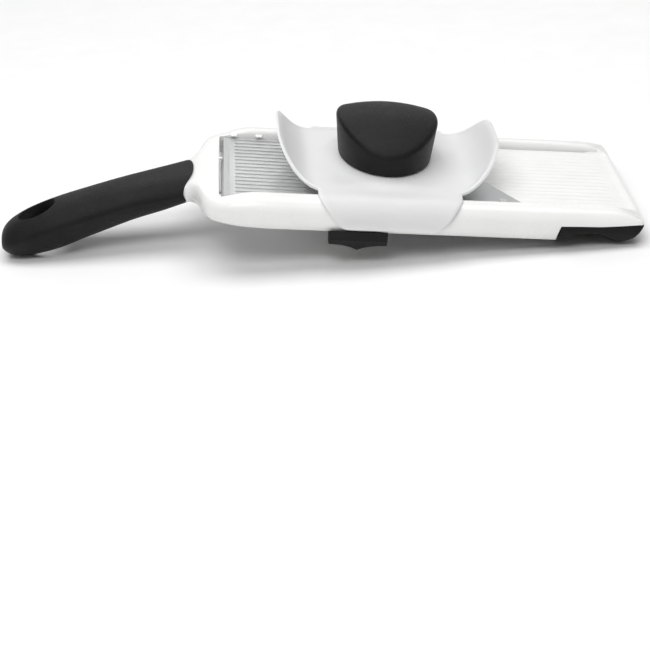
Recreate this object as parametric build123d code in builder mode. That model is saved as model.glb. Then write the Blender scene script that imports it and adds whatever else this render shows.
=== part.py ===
"""Hand-held mandoline slicer: white frame, clear adjustable ramp, diagonal blade, hand guard, soft handle.

The parts are drawn in the tool's own frame: X runs along the runway from the handle (-X) to the foot
(+X), Y runs across it, and Z = 0 is the runway's surface. At the end every part is moved by one
"stance", so that the slicer rests on a table with its foot and the end of its handle at Z = 0.
"""
import os
from math import cos, degrees, radians, sin, tan

from build123d import *

# ---- driving dimensions, mm -------------------------------------------------------------------
runway_half = 44.0        # half the width between the rails
rail_top = 4.3            # the rails stand this far above the runway
side_half = 57.0          # half the overall width
floor_z = -14.2           # underside of the rails
end_x = 222.4             # foot end of the frame
opening_end = 216.0       # foot end of the runway opening, which starts at X = 0
wall = 2.4                # moulded wall thickness
plate_t = 3.0             # thickness of the ramp and of the landing plate
rib_pitch = 5.0           # spacing of the lengthwise ribs
rib_w = 1.4
rib_h = 0.5
fit = 0.05                # radial clearance of pins and screws
gap = 0.3                 # clearance between parts that move past each other

blade_slant = 30.5        # the blade lies this many degrees off square to the runway
blade_back = 163.7        # X of the blade's back edge at the near rail
blade_len_x = 31.0        # width of the blade, measured along X
blade_t = 0.8
throat = 3.0              # gap between the ramp's end and the cutting edge, along X

hinge_x = 3.4             # ramp hinge axis
hinge_z = -3.6
rod_r = 1.25
slice_step = 1.6          # each setting opens the throat by this much more
throat_arm = 113.0        # from the ramp hinge to the middle of the throat
click = 6.0               # travel of the thickness slide between two settings
cam_x = 60.0              # X where the ramp's feet stand on the wedges
tab_x = 72.6              # middle of the thumb tab

guard_x = 88.6            # middle of the hand guard
guard_half_len = 59.6     # half its length at Y = 0
guard_half_wide = 49.7    # half its width where the skirts start
guard_shoulder = 36.0     # half its length at the skirts
guard_flat = 38.7         # the ends curl up beyond this distance from the middle
guard_curl = 19.5         # height of the curled ends
guard_t = 2.2
skirt_low = -8.4          # lower edge of the skirts
skirt_half = 24.5         # half their length there
prong_grid = (10, 11, 3, 4)   # spacing along X and Y, then how many each way
knob_rx = 25.0            # half sizes of the palm knob at its base
knob_ry = 35.5
knob_flare = 2.4          # the knob's top is this much larger all round
knob_base_z = 11.3
knob_top_z = 37.4

handle_slope = 21.6       # the handle drops this many degrees below the runway
handle_root_z = -3.4      # height of the handle's axis at X = 0
hole_at = 101.1           # hanging hole, measured along the handle's axis
hole_r = 8.0
tongue_x = -14.0          # front of the grip's tongue on top of the neck
neck_x = -20.0            # end of the frame's neck
foot_x = 177.0            # the foot starts here
stance_angle = 7.3        # the runway's slope when the slicer rests on a table

# ---- worked out from them ---------------------------------------------------------------------
slant = tan(radians(blade_slant))
ramp_rest = degrees(slice_step / throat_arm)      # the ramp's slope at the first setting
wedge_slope = slice_step / throat_arm * (cam_x - hinge_x) / click
guard_z = rail_top + gap                          # underside of the guard
axis_dir = Vector(-cos(radians(handle_slope)), 0, -sin(radians(handle_slope)))
cross_dir = Vector(-sin(radians(handle_slope)), 0, cos(radians(handle_slope)))


def blade_line(y, offset=0.0):
    """A point on a line parallel to the blade, `offset` mm along X from the blade's back edge."""
    return (blade_back - slant * (y + runway_half) + offset, y)


blade_screw_spots = [blade_line(y, -9) for y in (-36, 0, 36)]
plate_screw_spots = [(174, -40), (208, -40), (130, 40), (208, 40)]
guide_screw_spots = [(42, -11), (96, -11)]      # X and Z


def strip(x_start, x_stop, half):
    """The plan of a strip across the runway with both ends parallel to the blade."""
    return [blade_line(-half, x_start), blade_line(-half, x_stop),
            blade_line(half, x_stop), blade_line(half, x_start)]


def across(y):
    """A plane along X and Z at this Y, whose extrusions go towards -Y."""
    return Plane.XZ.offset(-y)


def on_handle(u, lift=0.0):
    """The point `u` mm along the handle's axis and `lift` mm above it."""
    return Vector(0, 0, handle_root_z) + axis_dir * u + cross_dir * lift


# ---- frame ------------------------------------------------------------------------------------
def hull(inset):
    """The frame's outside, or that shape moved in by `inset` and open below, to hollow it out."""
    half = side_half - inset
    top = rail_top - inset
    low = floor_z - (10.0 if inset else 0.0)
    belly = -7.2
    with BuildPart() as shape:
        with BuildSketch(Plane.YZ.offset(-30)):
            with BuildLine():
                right = EllipticalCenterArc((half - 9, belly), 9, top - belly)
                left = EllipticalCenterArc((9 - half, belly), 9, top - belly, start_angle=90)
                Line(right @ 1, left @ 0)
                if inset:
                    Polyline(left @ 1, (-half, low), (half, low), right @ 0)
                else:
                    bilge = RadiusArc(left @ 1, (7 - half, low), -7)
                    chine = RadiusArc((half - 7, low), right @ 0, -7)
                    Line(bilge @ 1, chine @ 0)
            make_face()
        extrude(amount=end_x + 30)
        with BuildSketch(Plane.XY.offset(-40)):
            corner = 5.0
            shoulder = [(neck_x - 6, 19.0), (neck_x + 4, 21.5), (-11.5, 29), (-9.5, 40), (-3.5, 50.3),
                        (8, 55.6), (24, side_half)]
            with BuildLine():
                far = Spline([(x + inset, y - inset) for x, y in shoulder], tangents=[(1, 0.1), (1, 0)])
                end = Line(far @ 1, (end_x - inset - corner, half))
                bend = RadiusArc(end @ 1, (end_x - inset, half - corner), corner)
                Line(bend @ 1, (end_x - inset, 0))
                Line((end_x - inset, 0), (neck_x - 6 + inset, 0))
                Line((neck_x - 6 + inset, 0), far @ 0)
            make_face()
            mirror(about=Plane.XZ)
        extrude(amount=60, mode=Mode.INTERSECT)
        with BuildSketch(across(70)):
            with BuildLine():
                ridge = Spline((-30, -11 - inset), (-20, -5.9 - inset), (-9, -0.6 - inset), (0.5, -inset),
                               (9, 2.6 - inset), (18, top), tangents=[(1, 0.5), (1, 0)])
                flat = Line(ridge @ 1, (202, top))
                fall = Spline(flat @ 1, (213, 2.9 - inset), (end_x, -0.2 - inset),
                              tangents=[(1, 0), (1, -0.55)])
                Polyline(fall @ 1, (end_x, low - 1), (34, low - 1), (34, low - 0.05))
                under = Spline((34, low - 0.05), (2, low + 1.9), (-9, low + 1.5), (-18, low - 1.8),
                               (-30, low - 6.5), tangents=[(-1, 0), (-1, -0.4)])
                Line(under @ 1, ridge @ 0)
            make_face()
        extrude(amount=140, mode=Mode.INTERSECT)
    return shape.part


def hollow():
    """The space inside the rails and under the deck."""
    with BuildPart() as space:
        add(hull(wall))
        with BuildSketch(Plane.XY.offset(-40)):
            with Locations((opening_end / 2 + wall / 2, 0)):
                Rectangle(opening_end + wall, 2 * (runway_half + wall))
            with Locations((neck_x - 6 + 9, 0)):
                Rectangle(18, 34)
        extrude(amount=60, mode=Mode.SUBTRACT)
    return space.part


def foot_room():
    """What the frame leaves out for the foot: everything below its rear underside."""
    with BuildPart() as room:
        with BuildSketch(across(60)):
            Polygon((foot_x + 1, -6.2), (219.5, -6.2), (end_x, -1.9), (end_x + 3, -1.9), (end_x + 3, -30),
                    (foot_x - 2, -30), align=None)
        extrude(amount=120)
        for side in (-1, 1):
            with BuildSketch(across(side * 55.5 + 5)):
                Polygon((foot_x + 1.2, -4.8), (198, -4.3), (end_x + 3, -1.0), (end_x + 3, -30),
                        (foot_x - 2, -30), align=None)
            extrude(amount=10)
    return room.part


def tongue_room():
    """Where the grip may reach over the neck: above the handle's axis, with a rounded front."""
    with BuildPart() as room:
        with BuildSketch(Plane.XY.offset(-9)):
            with BuildLine():
                nose = Spline((-30, 22), (-19.5, 16), (tongue_x, 0), (-19.5, -16), (-30, -22),
                              tangents=[(1, 0), (-1, 0)])
                Line(nose @ 1, nose @ 0)
            make_face()
        extrude(amount=20)
    return room.part


frame_hull = hull(0)
frame_space = hollow()
frame_foot_room = foot_room()
core_plane = Plane(origin=on_handle(9), x_dir=(0, -1, 0), z_dir=axis_dir)

with BuildPart() as body_frame:
    add(frame_hull)
    add(frame_space, mode=Mode.SUBTRACT)
    with BuildSketch(Plane.XY.offset(-40)):
        with Locations((opening_end / 2, 0)):
            Rectangle(opening_end, 2 * runway_half)
    extrude(amount=60, mode=Mode.SUBTRACT)
    # the end bar is level with the runway
    with BuildSketch(Plane.XY):
        with Locations((end_x, 0)):
            Rectangle(40, 2 * runway_half)
    extrude(amount=10, mode=Mode.SUBTRACT)
    add(frame_foot_room, mode=Mode.SUBTRACT)
    # ledges that carry the landing plate
    with BuildSketch(Plane.XY.offset(-plate_t - 2.4)):
        for side, start in ((-1, 171.0), (1, 121.0)):
            with Locations(((start + opening_end) / 2, side * (runway_half - 2.5))):
                Rectangle(opening_end - start, 7)
    extrude(amount=2.2)
    # shelf under the deck, the seat of the two ramp springs
    with BuildSketch(Plane.XY.offset(-12.6)):
        with Locations((-5.5, 0)):
            Rectangle(10, 60)
    extrude(amount=2)
    # sockets and holes
    with BuildSketch(core_plane):
        RectangleRounded(22.1, 8.1, 2)
    extrude(amount=40, mode=Mode.SUBTRACT)
    with BuildSketch(across(runway_half + wall)):
        with Locations((hinge_x, hinge_z)):
            Circle(rod_r + fit)
        with Locations(*guide_screw_spots):
            Circle(1.0 + fit)
    extrude(amount=2 * (runway_half + wall), mode=Mode.SUBTRACT)
    with BuildSketch(Plane.XY.offset(-6)):
        with Locations(*plate_screw_spots):
            Circle(1.1 + fit)
    extrude(amount=3, mode=Mode.SUBTRACT)
    with Locations((-14, -7, -25), (-14, 7, -25)):
        Cylinder(1.3, 20, align=(Align.CENTER, Align.CENTER, Align.MIN), mode=Mode.SUBTRACT)
        Cylinder(2.5, 11, align=(Align.CENTER, Align.CENTER, Align.MIN), mode=Mode.SUBTRACT)


# ---- landing plate, blade and what holds them -------------------------------------------------

with BuildPart() as landing_plate:
    with BuildSketch(Plane.XY.offset(-plate_t - 0.2)):
        front = blade_line(-runway_half + 0.6, 0.1)
        back = blade_line(runway_half - 0.6, 0.1)
        Polygon(front, (opening_end - 0.3, front[1]), (opening_end - 0.3, back[1]), back, align=None)
    extrude(amount=plate_t + 0.2)
    # thin shelf under the blade, set back from the cutting edge so that slices can drop
    with BuildSketch(Plane.XY.offset(-plate_t - 0.2)):
        Polygon(*strip(-18, 0.2, runway_half - 0.6), align=None)
    extrude(amount=plate_t - 0.1)
    # ribs
    with BuildSketch(Plane.XY):
        for i in range(-8, 9):
            low, high = i * rib_pitch - rib_w / 2, i * rib_pitch + rib_w / 2
            Polygon(blade_line(low, 0.1), (opening_end - 3, low), (opening_end - 3, high),
                    blade_line(high, 0.1), align=None)
    extrude(amount=rib_h)
    # holes of the blade screws and blind holes of the plate screws
    with BuildSketch(Plane.XY.offset(-10)):
        with Locations(*blade_screw_spots):
            Circle(1.25 + fit)
    extrude(amount=12, mode=Mode.SUBTRACT)
    with BuildSketch(Plane.XY.offset(-10)):
        with Locations(*plate_screw_spots):
            Circle(1.1 + fit)
    extrude(amount=9, mode=Mode.SUBTRACT)

with BuildPart() as blade:
    with BuildSketch(Plane.XY.offset(-0.3)):
        Polygon(*strip(-blade_len_x, 0, runway_half - 0.8), align=None)
    extrude(amount=blade_t)
    # ground bevel along the cutting edge
    long_edges = blade.edges().group_by(Axis.Z)[-1].sort_by(SortBy.LENGTH)[-2:]
    cutting_edge = long_edges.sort_by(Axis.X)[0]
    chamfer(cutting_edge, length=0.6, length2=3.2)
    with BuildSketch(Plane.XY.offset(-1)):
        with Locations(*blade_screw_spots):
            Circle(1.25 + fit)
    extrude(amount=3, mode=Mode.SUBTRACT)

with BuildPart() as blade_clamp:
    with BuildSketch(Plane.XY.offset(-plate_t - 0.2 - 1.6)):
        Polygon(*strip(-16, -3, runway_half - 6.5), align=None)
    extrude(amount=1.6)
    with BuildSketch(Plane.XY.offset(-10)):
        with Locations(*blade_screw_spots):
            Circle(1.25 + fit)
    extrude(amount=12, mode=Mode.SUBTRACT)

with BuildPart() as blade_screws:
    with BuildSketch(Plane.XY.offset(-6.4)):
        with Locations(*blade_screw_spots):
            Circle(1.25)
    extrude(amount=6.9)
    with BuildSketch(Plane.XY.offset(0.5)):
        with Locations(*blade_screw_spots):
            Circle(2.4)
    extrude(amount=0.5)
    with BuildSketch(Plane.XY.offset(-6.6)):
        with Locations(*blade_screw_spots):
            RegularPolygon(2.4, 6)
    extrude(amount=1.8)

with BuildPart() as plate_screws:
    with BuildSketch(Plane.XY.offset(-6.9)):
        with Locations(*plate_screw_spots):
            Circle(2.2)
    extrude(amount=1.5)
    with BuildSketch(Plane.XY.offset(-5.5)):
        with Locations(*plate_screw_spots):
            Circle(1.1)
    extrude(amount=4.2)

# ---- ramp -------------------------------------------------------------------------------------
ramp_plane = Plane(origin=(hinge_x, 0, hinge_z)).rotated((0, ramp_rest, 0))
ramp_half = runway_half - 1.2
ramp_top = -0.2 - hinge_z
ramp_end = -blade_len_x - throat


def on_ramp(y, offset=0.0):
    """A plan point on the ramp's slanted end, seen from the hinge."""
    x, _ = blade_line(y, ramp_end + offset)
    return (x - hinge_x, y)


with BuildPart() as ramp:
    with BuildSketch(ramp_plane.offset(ramp_top - plate_t)):
        Polygon((-1.2, -ramp_half), on_ramp(-ramp_half), on_ramp(ramp_half), (-1.2, ramp_half), align=None)
    extrude(amount=plate_t)
    with BuildSketch(ramp_plane.offset(ramp_top)):
        for i in range(-8, 9):
            low, high = i * rib_pitch - rib_w / 2, i * rib_pitch + rib_w / 2
            Polygon((5, low), on_ramp(low, -2), on_ramp(high, -2), (5, high), align=None)
    extrude(amount=rib_h)
    # tail under the deck, which the springs push up
    with BuildSketch(ramp_plane.offset(-1.8)):
        with Locations((-4.4, 0)):
            Rectangle(8, 56)
    extrude(amount=1.6)
    # barrel, feet
    with BuildSketch(across(ramp_half)):
        with Locations((hinge_x, hinge_z)):
            Circle(2.3)
    extrude(amount=2 * ramp_half)
    with BuildSketch(across(ramp_half + 1)):
        with Locations((hinge_x, hinge_z)):
            Circle(rod_r + fit)
    extrude(amount=2 * ramp_half + 2, mode=Mode.SUBTRACT)
    for y in (-36.5, 39.5):
        with BuildSketch(Plane(origin=(hinge_x, y, hinge_z), x_dir=ramp_plane.x_dir, z_dir=(0, -1, 0))):
            with Locations((cam_x - hinge_x, -1.4)):
                SlotCenterToCenter(2.4, 2.0, rotation=90)
        extrude(amount=3)

with BuildPart() as hinge_rod:
    with BuildSketch(across(runway_half + wall)):
        with Locations((hinge_x, hinge_z)):
            Circle(rod_r)
    extrude(amount=2 * (runway_half + wall))

# ---- ramp springs: they push the tail up, so that the ramp's end follows the wedges down -------
spring_h = 4.6
wire_r = 0.3
with BuildPart() as ramp_springs:
    for y in (-22, 22):
        with BuildLine(Plane(origin=(-2.8, y, -10.6 + wire_r))) as coil:
            Helix(pitch=(spring_h - 2 * wire_r) / 5, height=spring_h - 2 * wire_r, radius=1.9)
        with BuildSketch(Plane(origin=coil.line @ 0, z_dir=coil.line % 0)):
            Circle(wire_r)
        sweep(path=coil.line, is_frenet=True)

# ---- thickness slide --------------------------------------------------------------------------
foot_tip = hinge_z - 1.4 - 2.2 - (cam_x - hinge_x) * sin(radians(ramp_rest))
runner_low = -13.6


def wedge_z(x):
    """Height of the wedge under the ramp's foot, at rest."""
    return foot_tip - gap + wedge_slope * (x - cam_x)


with BuildPart() as slide_carriage:
    for y, tail_end in ((-36, 80), (40, 72)):
        with BuildSketch(across(y)):
            Polygon((45, runner_low), (45, wedge_z(45)), (69, wedge_z(69)), (69, -9), (tail_end, -9),
                    (tail_end, runner_low), align=None)
        extrude(amount=4)
    with BuildSketch(Plane.XY.offset(runner_low)):
        with Locations((54, 0)):
            Rectangle(12, 80)
    extrude(amount=2.2)
    # grooves that run on the guides
    for side in (-1, 1):
        with BuildSketch(Plane.YZ.offset(40)):
            with Locations((side * 39.5, -11.8)):
                Rectangle(2.4, 2.2)
        extrude(amount=50, mode=Mode.SUBTRACT)
    # arm to the thumb tab, below the near rail
    with BuildSketch(Plane.XY.offset(-17.2)):
        with Locations((tab_x, -45)):
            Rectangle(11, 18)
    extrude(amount=2.4)
    with BuildSketch(Plane.XY.offset(-17.2)):
        with Locations((tab_x, -38)):
            Rectangle(11, 4)
    extrude(amount=4)
    with BuildSketch(Plane.XY.offset(-20)):
        with Locations((tab_x, -50.5)):
            Circle(0.9 + fit)
    extrude(amount=6, mode=Mode.SUBTRACT)

with BuildPart() as thumb_tab:
    with BuildSketch(across(-49)):
        with BuildLine():
            half_tab = 15.2
            left_side = Line((tab_x - half_tab, -14.6), (tab_x - half_tab, -19.2))
            left_flank = Spline(left_side @ 1, (tab_x - 6, -20.4), (tab_x, -23.4),
                                tangents=[(1, 0), (1, -0.8)])
            right_flank = Spline((tab_x, -23.4), (tab_x + 6, -20.4), (tab_x + half_tab, -19.2),
                                 tangents=[(1, 0.8), (1, 0)])
            Polyline(right_flank @ 1, (tab_x + half_tab, -14.6), left_side @ 0)
        make_face()
    extrude(amount=9.3)
    with BuildSketch(across(-57.3)):
        with Locations((tab_x, -13.3)):
            Rectangle(2 * half_tab, 4.6)
    extrude(amount=1.0)
    # the underside slopes back from the front face
    with BuildSketch(Plane.YZ.offset(tab_x - 20)):
        Polygon((-58.4, -15.8), (-52.6, -24), (-60, -26), (-60, -15.8), align=None)
    extrude(amount=40, mode=Mode.SUBTRACT)
    with BuildSketch(Plane.XY.offset(-17.2 - fit)):
        with Locations((tab_x, -45)):
            Rectangle(11.1, 18.1)
    extrude(amount=3, mode=Mode.SUBTRACT)
    with BuildSketch(Plane.XY.offset(-26)):
        with Locations((tab_x, -50.5)):
            Circle(2.0)
    extrude(amount=6.6, mode=Mode.SUBTRACT)
    with BuildSketch(Plane.XY.offset(-26)):
        with Locations((tab_x, -50.5)):
            Circle(0.9 + fit)
    extrude(amount=10, mode=Mode.SUBTRACT)

with BuildPart() as tab_screw:
    with BuildSketch(Plane.XY.offset(-20.8)):
        with Locations((tab_x, -50.5)):
            Circle(1.8)
    extrude(amount=1.4)
    with BuildSketch(Plane.XY.offset(-19.6)):
        with Locations((tab_x, -50.5)):
            Circle(0.9)
    extrude(amount=4.6)

with BuildPart() as slide_guides:
    for side in (-1, 1):
        with BuildSketch(Plane.YZ.offset(38)):
            with Locations((side * 42.15, -11.7)):
                Rectangle(3.6, 5.0)
            with Locations((side * 39.6, -11.8)):
                Rectangle(1.7, 1.6)
        extrude(amount=62)
        with BuildSketch(across(side * 42.15 + 3)):
            with Locations(*guide_screw_spots):
                Circle(1.0 + fit)
        extrude(amount=6, mode=Mode.SUBTRACT)
        with BuildSketch(across(max(side * 40, side * 41.6))):
            with Locations(*guide_screw_spots):
                Circle(2.0)
        extrude(amount=1.6, mode=Mode.SUBTRACT)

with BuildPart() as guide_screws:
    for shank_y, head_y in ((46, 41.6), (-41.6, -40.4)):
        with BuildSketch(across(shank_y)):
            with Locations(*guide_screw_spots):
                Circle(1.0)
        extrude(amount=4.4)
        with BuildSketch(across(head_y)):
            with Locations(*guide_screw_spots):
                Circle(1.9)
        extrude(amount=1.2)

with BuildPart() as detent_spring:
    with BuildSketch(across(40)):
        with BuildLine():
            Polyline((96, -14.4), (80, -14.4), (66, -14.6), (63, -14.1), (60, -13.95), (57, -14.1),
                     (54, -14.7), (50, -14.9))
            offset(amount=0.2)
        make_face()
    extrude(amount=3.6)
    with BuildSketch(Plane.XY.offset(-14.6)):
        with Locations((90, 41.5)):
            Rectangle(11, 4.4)
    extrude(amount=0.4)

# ---- handle -----------------------------------------------------------------------------------
with BuildPart() as grip_front:
    with BuildSketch(across(60)):
        Polygon((neck_x - 0.1, 20), (20, 20), (20, -60), (neck_x - 0.1, -60), align=None)
    extrude(amount=120)
    add(tongue_room(), mode=Mode.SUBTRACT)

# section sizes along the handle: distance, half width, height above and below the axis
handle_sections = [(6, 22.5, 6.6, 6.6), (22, 20.5, 7.6, 7.4), (42, 18.8, 10.2, 9.2), (64, 18.8, 12.1, 11.2),
                   (88, 19.2, 12.6, 12.2), (106, 18.6, 11.6, 11.8), (118, 15.0, 8.8, 9.0),
                   (124.6, 8.0, 4.0, 4.0)]

with BuildPart() as handle_grip:
    for u, half_w, above, below in handle_sections:
        with BuildSketch(Plane(origin=on_handle(u), x_dir=(0, -1, 0), z_dir=axis_dir)):
            with BuildLine():
                Spline((half_w, 0), (0.78 * half_w, 0.72 * above), (0, above), (-0.78 * half_w, 0.72 * above),
                       (-half_w, 0), (-0.76 * half_w, -0.74 * below), (0, -below),
                       (0.76 * half_w, -0.74 * below), periodic=True)
            make_face()
    loft()
    add(grip_front.part, mode=Mode.SUBTRACT)
    add(frame_hull, mode=Mode.SUBTRACT)
    with BuildSketch(core_plane):
        RectangleRounded(22, 8, 2)
    extrude(amount=83, mode=Mode.SUBTRACT)
    with BuildSketch(Plane(origin=on_handle(hole_at), x_dir=-axis_dir, z_dir=cross_dir)):
        Circle(hole_r)
    extrude(amount=30, both=True, mode=Mode.SUBTRACT)

with BuildPart() as handle_core:
    with BuildSketch(core_plane):
        RectangleRounded(22, 8, 2)
    extrude(amount=83)
    with Locations((-14, -7, -25), (-14, 7, -25)):
        Cylinder(1.25 + fit, 19, align=(Align.CENTER, Align.CENTER, Align.MIN), mode=Mode.SUBTRACT)

with BuildPart() as handle_screws:
    with Locations((-14, -7, -17.4), (-14, 7, -17.4)):
        Cylinder(2.3, 3.3, align=(Align.CENTER, Align.CENTER, Align.MIN))
        Cylinder(1.2, 11, align=(Align.CENTER, Align.CENTER, Align.MIN))

# ---- foot -------------------------------------------------------------------------------------
with BuildPart() as front_foot:
    with BuildSketch(across(60)):
        with BuildLine():
            sole = Spline((foot_x - 1.6, floor_z), (183.5, -13.9), (189, -10.7), (196, -10.1), (202, -11.2),
                          (209.5, -15.6), (216.5, -12.6), (end_x - 0.2, -2.6), tangents=[(1, 0), (1, 1.6)])
            Polyline(sole @ 1, (end_x - 0.2, 0), (foot_x - 1.6, 0), sole @ 0)
        make_face()
    extrude(amount=120)
    add(frame_foot_room, mode=Mode.INTERSECT)
    with BuildSketch(Plane.XY.offset(-7.1)):
        with Locations(*plate_screw_spots):
            Circle(2.5)
    extrude(amount=3, mode=Mode.SUBTRACT)
    with BuildSketch(Plane.YZ.offset(150)):
        with BuildLine():
            right = EllipticalCenterArc((side_half - 9.1, -7.2), 9, rail_top + 7.2)
            left = EllipticalCenterArc((9.1 - side_half, -7.2), 9, rail_top + 7.2, start_angle=90)
            Line(right @ 1, left @ 0)
            bilge = Spline(left @ 1, (-54.5, -13.2), (-46, -17), tangents=[(0, -1), (1, -0.1)])
            chine = Spline((46, -17), (54.5, -13.2), right @ 0, tangents=[(1, 0.1), (0, 1)])
            Line(bilge @ 1, chine @ 0)
        make_face()
    extrude(amount=80, mode=Mode.INTERSECT)

# ---- hand guard -------------------------------------------------------------------------------
curl_run = guard_half_len - guard_flat


def curl(x, lift):
    """A point on the guard's sheet, `lift` mm above its underside, x from the middle."""
    over = max(abs(x) - guard_flat, 0) / curl_run
    slope = 2.234 * guard_curl / curl_run * over ** 1.234 * (1 if x > 0 else -1)
    length = (1 + slope * slope) ** 0.5
    return (guard_x + x - lift * slope / length, guard_z + guard_curl * over ** 2.234 + lift / length)


def oval_shell(base, top, z_low, z_high):
    """A raised oval: an ellipse at one height drawn in to another, by their half sizes."""
    with BuildPart() as shape:
        with BuildSketch(Plane.XY.offset(z_low)):
            with Locations((guard_x, 0)):
                Ellipse(*base)
        with BuildSketch(Plane.XY.offset(z_high)):
            with Locations((guard_x, 0)):
                Ellipse(*top)
        loft()
    return shape.part


with BuildPart() as guard_dish:
    reach = [guard_flat, 44, 49, 54, guard_half_len + 1]
    with BuildSketch(across(guard_half_wide)):
        with BuildLine():
            low_right = Spline([curl(x, 0) for x in reach], tangents=[(1, 0), (1, 2.1)])
            high_right = Spline([curl(x, guard_t) for x in reach], tangents=[(1, 0), (1, 2.1)])
            Line(low_right @ 1, high_right @ 1)
            low_left = Spline([curl(-x, 0) for x in reach], tangents=[(-1, 0), (-1, 2.1)])
            high_left = Spline([curl(-x, guard_t) for x in reach], tangents=[(-1, 0), (-1, 2.1)])
            Line(low_left @ 1, high_left @ 1)
            Line(low_left @ 0, low_right @ 0)
            Line(high_left @ 0, high_right @ 0)
        make_face()
    extrude(amount=2 * guard_half_wide)
    with BuildSketch(Plane.XY):
        with BuildLine():
            rim = [(guard_x + guard_half_len - (guard_half_len - guard_shoulder)
                    * abs(y / guard_half_wide) ** 3.9, y)
                   for y in (-guard_half_wide, -43, -35, -24, 0, 24, 35, 43, guard_half_wide)]
            right_rim = Spline(rim)
            left_rim = Spline([(2 * guard_x - x, y) for x, y in rim])
            Line(right_rim @ 0, left_rim @ 0)
            Line(right_rim @ 1, left_rim @ 1)
        make_face()
    extrude(amount=60, mode=Mode.INTERSECT)
    with BuildSketch(Plane.XY):
        with Locations((guard_x, 0)):
            Rectangle(200, 96)
    extrude(amount=60, mode=Mode.INTERSECT)
    # raised oval under the palm knob, hollow below
    add(oval_shell((31, 41.5), (knob_rx, knob_ry), guard_z + guard_t - 0.6, knob_base_z))
    add(oval_shell((29, 39.5), (knob_rx - 2.4, knob_ry - 2.4), guard_z - 0.1, knob_base_z - 2.2),
        mode=Mode.SUBTRACT)
    with BuildSketch(Plane.XY):
        with Locations((guard_x, -20), (guard_x, 20)):
            Circle(1.5 + fit)
    extrude(amount=20, mode=Mode.SUBTRACT)

with BuildPart() as skirts:
    with BuildSketch(Plane.YZ.offset(guard_x - 45)):
        for side in (-1, 1):
            with BuildLine():
                outer = EllipticalCenterArc((side * 48, -7.2), 11.8, guard_z + guard_t + 7.2,
                                            start_angle=0 if side > 0 else 180, arc_size=side * 90)
                inner = EllipticalCenterArc((side * 48, -7.2), 9.6, guard_z + 7.2,
                                            start_angle=0 if side > 0 else 180, arc_size=side * 90)
                Line(outer @ 1, inner @ 1)
                Polyline(outer @ 0, (side * 59.8, skirt_low), (side * 57.6, skirt_low), inner @ 0)
            make_face()
    extrude(amount=90)
    with BuildSketch(across(70)):
        skirt = Polygon((guard_x - 39, 8), (guard_x + 39, 8), (guard_x + skirt_half, skirt_low),
                        (guard_x - skirt_half, skirt_low), align=None)
        fillet(skirt.vertices().group_by(Axis.Y)[0], 5)
    extrude(amount=140, mode=Mode.INTERSECT)

with BuildPart() as hand_guard:
    add(guard_dish.part)
    add(skirts.part)

with BuildPart() as prong_plate:
    with BuildSketch(Plane.XY.offset(6.0)):
        with Locations((guard_x, 0)):
            Ellipse(21, 31)
    extrude(amount=3.0)
    with BuildSketch(Plane.XY):
        with Locations((guard_x, 0)):
            with GridLocations(*prong_grid):
                Circle(0.8 + fit)
        with Locations((guard_x, -20), (guard_x, 20)):
            Circle(1.5 + fit)
    extrude(amount=20, mode=Mode.SUBTRACT)

with BuildPart() as food_prongs:
    with BuildSketch(Plane.XY.offset(3.2)):
        with Locations((guard_x, 0)):
            with GridLocations(*prong_grid):
                Circle(0.8)
    extrude(amount=5.8)
    with Locations((guard_x, 0, 3.2)):
        with GridLocations(*prong_grid):
            Cone(0.8, 0.15, 1.6, rotation=(180, 0, 0), align=(Align.CENTER, Align.CENTER, Align.MIN))

with BuildPart() as knob_core:
    add(oval_shell((17, 27), (19, 29), knob_base_z, 24))
    with BuildSketch(Plane.XY):
        with Locations((guard_x, -20), (guard_x, 20)):
            Circle(1.5 + fit)
    extrude(amount=20, mode=Mode.SUBTRACT)

with BuildPart() as knob_grip:
    add(oval_shell((knob_rx, knob_ry), (knob_rx + knob_flare, knob_ry + knob_flare), knob_base_z,
                   knob_top_z + 1))
    with BuildSketch(across(60)):
        with BuildLine():
            crown = ThreePointArc((guard_x - 40, knob_top_z - 9.2), (guard_x, knob_top_z),
                                  (guard_x + 40, knob_top_z - 9.2))
            Polyline(crown @ 1, (guard_x + 40, 0), (guard_x - 40, 0), crown @ 0)
        make_face()
    extrude(amount=120, mode=Mode.INTERSECT)
    with BuildSketch(Plane.YZ.offset(40)):
        with BuildLine():
            crown = ThreePointArc((-40, knob_top_z - 16.5), (0, knob_top_z), (40, knob_top_z - 16.5))
            Polyline(crown @ 1, (40, 0), (-40, 0), crown @ 0)
        make_face()
    extrude(amount=100, mode=Mode.INTERSECT)
    add(oval_shell((17, 27), (19, 29), knob_base_z, 24), mode=Mode.SUBTRACT)

with BuildPart() as knob_screws:
    with Locations((guard_x, -20, 4.9), (guard_x, 20, 4.9)):
        Cylinder(2.6, 1.1, align=(Align.CENTER, Align.CENTER, Align.MIN))
        Cylinder(1.5, 14, align=(Align.CENTER, Align.CENTER, Align.MIN))

# ---- stance: the foot and the end of the handle on the table ----------------------------------
lean = Rotation(0, stance_angle, 0)
table_z = (lean * handle_grip.part).bounding_box().min.Z
with BuildPart() as table:
    with BuildSketch(Plane.XY.offset(table_z - 40)):
        Rectangle(800, 300)
    extrude(amount=40)
below_table = lean.inverse() * table.part
with BuildPart() as foot_with_pad:
    add(front_foot.part)
    add(below_table, mode=Mode.SUBTRACT)

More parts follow.
